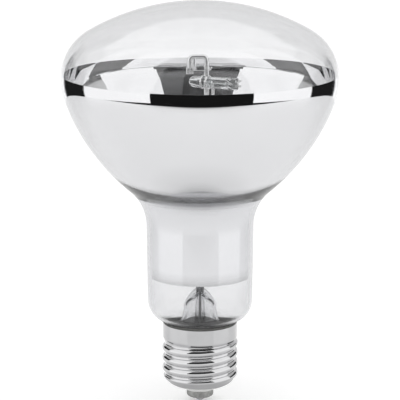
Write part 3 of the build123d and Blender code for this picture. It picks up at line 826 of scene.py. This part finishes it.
# %% The quartz burner
BURNER_R, BURNER_WALL = 2.0, 0.55
BURNER_LEFT, BURNER_RIGHT, BURNER_END = -6.3, 9.2, 11.4
PINCH_HALF, PINCH_START, PINCH_FLAT, PINCH_EDGE = 0.9, 7.8, 9.4, 0.3
PINCH_POWER = 6.0
round_end = np.linspace(0, pi / 2, 16)
shaping = np.linspace(0, 1, 24)
pinching = shaping * shaping * (3 - 2 * shaping)
closing = np.linspace(0, pi / 2, 8)
half_height = np.concatenate([
    BURNER_R * np.sin(round_end),
    np.full(len(shaping), BURNER_R),
    BURNER_R - PINCH_EDGE + PINCH_EDGE * np.cos(closing),
    [0],
])
half_depth = np.concatenate([
    BURNER_R * np.sin(round_end),
    BURNER_R - (BURNER_R - PINCH_HALF) * pinching,
    PINCH_HALF - PINCH_EDGE + PINCH_EDGE * np.cos(closing),
    [0],
])
burner_power = np.concatenate([
    np.full(len(round_end), ROUND_POWER),
    ROUND_POWER + (PINCH_POWER - ROUND_POWER) * pinching,
    np.full(len(closing) + 1, PINCH_POWER),
])
station = np.concatenate([
    BURNER_LEFT + BURNER_R * (1 - np.cos(round_end)),
    PINCH_START + (PINCH_FLAT - PINCH_START) * shaping,
    BURNER_END - PINCH_EDGE + PINCH_EDGE * np.sin(closing),
    [BURNER_END],
])
full_end = np.linspace(0, pi, 40)
bore_half = (BURNER_R - BURNER_WALL) * np.sin(full_end) ** 0.5
bore_reach = (BURNER_RIGHT - BURNER_LEFT) / 2 - BURNER_WALL
bore_station = (BURNER_LEFT + BURNER_RIGHT) / 2 + bore_reach * np.cos(full_end)
burner_skin = squeezed(half_depth, half_height, burner_power, station, BURNER_COLUMNS)
bore_power = np.full(len(full_end), ROUND_POWER)
burner_bore = squeezed(bore_half, bore_half, bore_power, bore_station, BURNER_COLUMNS)
burner_rows = [in_burner(burner_skin), in_burner(burner_bore)]
put_piece("quartz_burner", burner_rows, fused_quartz, ["burner_tube"])

# %% [markdown]
# ## Frost on the pinch
# The flame and the jaws leave a light frost on the pinched end. A second material would end in a hard
# line, so a little white scatter is mixed in, and its share grows along the burner.

# %% The frost
FROSTED = (8.8, 9.8)
FROST_WHITE, FROST_SHARE = (0.96, 0.96, 0.96, 1), 0.12


def frost_along(material, direction, reach):
    """Mixes in a white scatter by the point's distance along a direction, which is their dot product:
    none at the first length and the full share at the second."""
    tree = material.node_tree
    along = add_node(tree, "VectorMath")
    along.operation = "DOT_PRODUCT"
    along.inputs[1].default_value = direction
    grown = add_node(tree, "MapRange", From_Min=reach[0] * MM, From_Max=reach[1] * MM, To_Max=FROST_SHARE)
    frost = add_node(tree, "BsdfDiffuse", Color=FROST_WHITE)
    tree.links.new(add_node(tree, "TexCoord").outputs["Object"], along.inputs[0])
    tree.links.new(along.outputs["Value"], grown.inputs["Value"])
    quartz = tree.nodes["Principled BSDF"].outputs["BSDF"]
    lay_over(tree, grown.outputs["Result"], quartz, frost.outputs["BSDF"])


frost_along(fused_quartz, burner_x, BURNER_ORIGIN @ burner_x + np.array(FROSTED))
print("Frosted from", FROSTED[0], "mm along the burner")

# %% [markdown]
# ## The burner's strap
# The burner hangs on the post by a strap of thin sheet: two narrow loops round the quartz, a strip
# that joins them behind it, and a saddle that bears against the post. One wide band would be easier,
# but it would hide the quartz. A loop is a flat oblong section turned round the burner's own axis. The
# strip and the saddle are oblong blocks, so they use the superellipse.

# %% The loops and the saddle
LOOP_R, LOOP_HALF_THICK, LOOP_HALF_WIDE, LOOP_POWER = 2.225, 0.175, 0.35, 6
LOOP_MIDDLES = (-1.25, 0.60)
BLOCK_EDGE, BLOCK_POWER, BLOCK_COLUMNS = 0.1, 8.0, 48
BLOCK_SWELL = np.array([0, 0.8, 1, 1, 0.8, 0])


def loop(middle):
    """An oblong section of radius and length, a superellipse, turned round the burner's axis."""
    section = np.linspace(0, 2 * pi, 33)
    flat = np.abs(np.stack([np.cos(section), np.sin(section)])) ** (2 / LOOP_POWER)
    radius = LOOP_R + LOOP_HALF_THICK * np.sign(np.cos(section)) * flat[0]
    length = middle + LOOP_HALF_WIDE * np.sign(np.sin(section)) * flat[1]
    turn = np.linspace(0, 2 * pi, BURNER_COLUMNS, endpoint=False)
    rows = [radius[:, None] * np.cos(turn), radius[:, None] * np.sin(turn), length[:, None] + 0 * turn]
    return in_burner(np.stack(rows, axis=-1))


def block(depth, half_depth, half_height, start, end):
    """An oblong block behind the burner: superellipses along its length, smaller at both ends."""
    along = np.array([start, start, start + BLOCK_EDGE, end - BLOCK_EDGE, end, end])
    power = np.full(len(along), BLOCK_POWER)
    rows = squeezed(half_depth * BLOCK_SWELL, half_height * BLOCK_SWELL, power, along, BLOCK_COLUMNS)
    return in_burner(rows + np.array([depth, 0, 0]))


strip = block(LOOP_R, half_depth=0.15, half_height=0.6, start=-1.5, end=0.9)
saddle = block(2.75, half_depth=0.55, half_height=1.1, start=-0.55, end=0.95)
strap_rows = [loop(LOOP_MIDDLES[0]), loop(LOOP_MIDDLES[1]), strip, saddle]
put_piece("strap_loops", strap_rows, polished_cup, ["burner_strap"])

# %% [markdown]
# ## The ballast filament
# The filament is wire wound into a tight helix, and the helix is bent into an open ring. A curve with
# two modifiers could do that. Both turns in one formula need no helper objects: the ring carries the
# centre round the lamp, and the small circle turns many times on the way.

# %% The filament coil
RING_R, RING_Z, COIL_R, COIL_WIRE_R = 15.0, 79.2, 0.57, 0.13
RING_START, RING_SWEEP = radians(19), radians(300)
TURNS, STEPS = 150, 12
share = np.linspace(0, 1, TURNS * STEPS)
ring_turn = RING_START + RING_SWEEP * share
coil_turn = 2 * pi * TURNS * share
coil_r = RING_R + COIL_R * np.cos(coil_turn)
coil_path = np.stack(
    [coil_r * np.cos(ring_turn), coil_r * np.sin(ring_turn), RING_Z + COIL_R * np.sin(coil_turn)], axis=-1
)
outwards = np.stack([np.cos(ring_turn), np.sin(ring_turn), 0 * share], axis=-1)
coil_rows = tube(coil_path, COIL_WIRE_R, np.cross(outwards, (0, 0, 1.0)), 8)
put_piece("filament_coil", [coil_rows], drawn_tungsten, ["ballast_filament"])

# %% [markdown]
# ## Finishes on the CAD wires
# The wires, hooks, foils, shield and hub could be made anew, but the CAD meshes have the right shape
# already. So they keep it and only get their metals and ceramic.

# %% Dress the remaining CAD nodes
metals = {
    "contact_lead": drawn_tungsten,
    "shell_lead": drawn_tungsten,
    "support_frame": drawn_nickel,
    "back_post": drawn_nickel,
    "filament_tail": drawn_nickel,
    "getter_cup": polished_cup,
    "heat_shield": rolled_sheet,
    "electrode_long": drawn_tungsten,
    "electrode_short": drawn_tungsten,
    "filament_hooks": drawn_molybdenum,
    "foil_upper": etched_foil_painted_sheen,
    "foil_lower": etched_foil_painted_sheen,
    "burner_lead_upper": drawn_nickel,
    "burner_lead_lower": drawn_nickel,
    "filament_hub": fired_bead,
}
for node, finish in metals.items():
    mesh = nodes[node].data
    mesh.materials.clear()
    mesh.materials.append(finish)
    mesh.shade_smooth()
    mesh.set_sharp_from_angle(angle=radians(SHARP_ANGLE))
print("CAD nodes dressed:", len(metals))

# %% [markdown]
# ## The studio
# Glass and mirrors show what stands round them. In the photo that is a white table, two tall white
# panels, a paler backdrop, and dark gaps: one in front, where the camera stands, and two behind.
# Real panels would also show in the picture. So all of this is seen only after a reflection, and to
# the eye the lamp stands on a plain white floor.

# %% Helpers for the studio
scene = bpy.context.scene
scene.view_settings.view_transform = "Standard"
scene.cycles.max_bounces = 24
scene.cycles.glossy_bounces = 16
scene.cycles.transmission_bounces = 24
scene.cycles.transparent_max_bounces = 24


def after_mirror(tree):
    """1 for a ray that has met a mirror or a shiny surface on its way, 0 for one that hasn't."""
    path = add_node(tree, "LightPath")
    seen = add_node(tree, "Math")
    seen.operation = "GREATER_THAN"
    seen.inputs[1].default_value = 0.5
    tree.links.new(path.outputs["Glossy Depth"], seen.inputs[0])
    return seen.outputs["Value"]


def stage_piece(name, points, faces, finish):
    """A studio object, which isn't part of the lamp. Points are in millimetres."""
    mesh = bpy.data.meshes.new(name)
    mesh.from_pydata(points * MM, [], faces)
    mesh.materials.append(finish)
    piece = bpy.data.objects.new(name, mesh)
    scene.collection.objects.link(piece)
    print("Studio piece:", name)


def mirror_only(name):
    """A material that shows only after a reflection. Returns it, its emission shader and its mix."""
    material = bpy.data.materials.new(name)
    material.use_nodes = True
    tree = material.node_tree
    tree.nodes.remove(tree.nodes["Principled BSDF"])
    clear = add_node(tree, "BsdfTransparent")
    glow = add_node(tree, "Emission")
    mix = lay_over(tree, after_mirror(tree), clear.outputs["BSDF"], glow.outputs["Emission"])
    return material, glow, mix


# %% [markdown]
# ## Light from all round
# Soft studio light comes from everywhere, so the world gives it and no lamps are needed. A ray that
# comes straight from the camera or the floor meets plain white. A mirrored one meets the panels, or
# behind the lamp the backdrop, which gets darker upwards and ends below a bright top.

# %% The world
WHITE, PANEL = 1.0, 1.18
BACKDROP = [
    (-0.1, PANEL), (0.0, 0.90), (0.17, 0.80), (0.34, 0.74),
    (0.50, 0.62), (0.615, 0.46), (0.645, 0.92), (1.0, 0.92),
]
BEHIND = [(0.15, 0.0), (0.35, 1.0)]


def blend(tree, share, grey, colour):
    """A colour that goes from a plain grey to another colour by a share."""
    mix = add_node(tree, "Mix")
    mix.data_type = "RGBA"
    mix.inputs["A"].default_value = (grey, grey, grey, 1)
    tree.links.new(share, mix.inputs["Factor"])
    tree.links.new(colour, mix.inputs["B"])
    return mix.outputs["Result"]


world = bpy.data.worlds.new("white_room")
scene.world = world
world.use_nodes = True
sky = world.node_tree
sky_parts = add_node(sky, "SeparateXYZ")
sky.links.new(add_node(sky, "TexCoord").outputs["Generated"], sky_parts.inputs["Vector"])
backdrop = greys(sky, sky_parts.outputs["Z"], BACKDROP)
behind = greys(sky, sky_parts.outputs["Y"], BEHIND)
studio = blend(sky, behind, PANEL, backdrop)
shown = blend(sky, after_mirror(sky), WHITE, studio)
sky.links.new(shown, sky.nodes["Background"].inputs["Color"])
print("World:", world.name)

# %% [markdown]
# ## The floor
# The floor is plain and pale, and keeps the lamp's shadow. A grey one under bright lamps would also
# do, but the photo's ground is white, so the floor is white and glows a little. Mirrored rays pass
# through it, because they are to meet the table.

# %% The white floor
FLOOR_Z, FLOOR_HALF, FLOOR_GLOW = -1.85, 4000, 0.25
floor_finish = new_finish(
    "white_floor", Base_Color=(0.9, 0.9, 0.9, 1), Roughness=0.6,
    Emission_Color=(1, 1, 1, 1), Emission_Strength=FLOOR_GLOW,
)
floor_tree = floor_finish.node_tree
floor_white = floor_tree.nodes["Principled BSDF"].outputs["BSDF"]
floor_clear = add_node(floor_tree, "BsdfTransparent").outputs["BSDF"]
lay_over(floor_tree, after_mirror(floor_tree), floor_white, floor_clear)
floor_sides = np.array([(-1, -1), (1, -1), (1, 1), (-1, 1)]) * FLOOR_HALF
floor_corners = np.concatenate([floor_sides, np.full((4, 1), FLOOR_Z)], axis=1)
stage_piece("floor", floor_corners, [(0, 1, 2, 3)], floor_finish)

# %% [markdown]
# ## The table
# The bowl and the thread mirror a white table that ends in front of the lamp. A lit plate would need
# its own lamps, so the table glows: dark at its front edge, and shaded round the lamp's foot. A weak
# gloss on top lets the lamp mirror itself in it.

# %% The mirrored table
TABLE_CENTRE, TABLE_HALF, TABLE_LIFT, TABLE_CORNERS = (0, 40), (465, 365), 0.04, 128
TABLE_GREY = [
    (-325, 0.05), (-312, 0.30), (-295, 0.72), (-255, 0.91),
    (-190, 0.98), (50, 0.98), (180, 0.89), (400, 0.86),
]
FOOT_SHADE = [(10, 0.55), (30, 0.84), (60, 0.97), (120, 1.0)]
table_finish, table_glow, table_mix = mirror_only("mirrored_table")
table_tree = table_finish.node_tree
table_gloss = add_node(table_tree, "BsdfPrincipled", Base_Color=(0, 0, 0, 1), Roughness=0.04, IOR=1.12)
table_sum = add_node(table_tree, "AddShader")
table_tree.links.new(table_glow.outputs["Emission"], table_sum.inputs[0])
table_tree.links.new(table_gloss.outputs["BSDF"], table_sum.inputs[1])
table_tree.links.new(table_sum.outputs["Shader"], table_mix.inputs[2])
table_far = add_node(table_tree, "VectorMath")
table_far.operation = "LENGTH"
table_tree.links.new(add_node(table_tree, "TexCoord").outputs["Object"], table_far.inputs[0])
table_grey = greys(table_tree, place_parts(table_tree)["Y"], TABLE_GREY, MM)
foot_shade = greys(table_tree, table_far.outputs["Value"], FOOT_SHADE, MM)
table_tree.links.new(multiplied(table_tree, table_grey, foot_shade), table_glow.inputs["Color"])
table_turn = np.linspace(0, 2 * pi, TABLE_CORNERS, endpoint=False)
table_points = np.stack([
    TABLE_CENTRE[0] + TABLE_HALF[0] * np.cos(table_turn),
    TABLE_CENTRE[1] + TABLE_HALF[1] * np.sin(table_turn),
    np.full(TABLE_CORNERS, FLOOR_Z + TABLE_LIFT),
], axis=-1)
stage_piece("mirrored_table", table_points, [tuple(range(TABLE_CORNERS))], table_finish)

# %% [markdown]
# ## The dark gaps
# Between the panels the room is dark, and the gaps draw the black bars and grey shapes in the bowl.
# They could be painted on the mirror, but would then stay put when the view changes. As upright
# pieces of a cylinder round the lamp they move as reflections do.

# %% The gaps between the panels
GAP_DISTANCE, GAP_CORNERS = 670, 40
FRONT_LEFT, FRONT_RIGHT = -39.4, 42.5
REAR_LEFT, REAR_RIGHT = -106, 100
GAP_FOOT, PANEL_FOOT, GAP_SPLIT, REAR_TOP, FRONT_TOP = -400, -60, 200, 450, 1060
BLACK = [(0, 0.01), (1000, 0.01)]
DIM = [(200, 0.012), (270, 0.03), (330, 0.14), (440, 0.15), (550, 0.09), (720, 0.04), (850, 0.008)]
LEFT_GREY = [(100, 0.015), (240, 0.02), (280, 0.46), (360, 0.48), (450, 0.70)]
RIGHT_GREY = [(100, 0.015), (240, 0.02), (280, 0.55), (360, 0.57), (450, 0.75)]


def put_gap(name, left, right, low, high, stops):
    """Part of an upright cylinder round the lamp. left and right are turns in degrees from the
    camera's side, low and high are heights, and stops give grey by height."""
    turn = np.radians(np.linspace(left, right, GAP_CORNERS))
    foot = np.stack([GAP_DISTANCE * np.sin(turn), -GAP_DISTANCE * np.cos(turn), low + 0 * turn], axis=-1)
    points = np.concatenate([foot, foot + (0, 0, high - low)])
    column = np.arange(GAP_CORNERS - 1)
    above = column + GAP_CORNERS
    faces = np.stack([column, column + 1, above + 1, above], axis=-1)
    finish, glow, _ = mirror_only(name)
    tree = finish.node_tree
    tree.links.new(height_greys(tree, stops), glow.inputs["Color"])
    stage_piece(name, points, faces.tolist(), finish)


put_gap("camera_gap_low", FRONT_LEFT, FRONT_RIGHT, GAP_FOOT, GAP_SPLIT, BLACK)
put_gap("camera_gap_high", -36.5, 40.0, GAP_SPLIT, FRONT_TOP, DIM)
put_gap("rear_gap_left", -144, REAR_LEFT, GAP_FOOT, REAR_TOP, LEFT_GREY)
put_gap("rear_gap_right", REAR_RIGHT, 141, GAP_FOOT, REAR_TOP, RIGHT_GREY)
put_gap("under_panel_left", REAR_LEFT, FRONT_LEFT, GAP_FOOT, PANEL_FOOT, BLACK)
put_gap("under_panel_right", FRONT_RIGHT, REAR_RIGHT, GAP_FOOT, PANEL_FOOT, BLACK)

# %% [markdown]
# ## The camera
# The photo looks slightly down on the lamp from an arm's length away, with a long lens. A camera
# could be set by eye. Here its distance, tilt and lens come from how the cap's thread and the
# mirror's edge look in the photo, so that the outlines agree.

# %% Camera
PHOTO_WIDTH, SENSOR_WIDTH, FOCAL_PIXELS = 400, 36.0, 1877.81
CAMERA_PLACE, LOOK_DOWN = (0.0, -0.630, 0.20796), 12.348
camera_data = bpy.data.cameras.new("camera")
camera_data.sensor_width = SENSOR_WIDTH
camera_data.lens = FOCAL_PIXELS * SENSOR_WIDTH / PHOTO_WIDTH
camera = bpy.data.objects.new("camera", camera_data)
camera.location = CAMERA_PLACE
camera.rotation_euler = (radians(90 - LOOK_DOWN), 0, 0)
scene.collection.objects.link(camera)
scene.camera = camera
print("Lens in mm:", round(camera_data.lens, 1))

# %% [markdown]
# ## The end
# The last cell only prints that the scene is built.

# %% The end
print("Scene built")
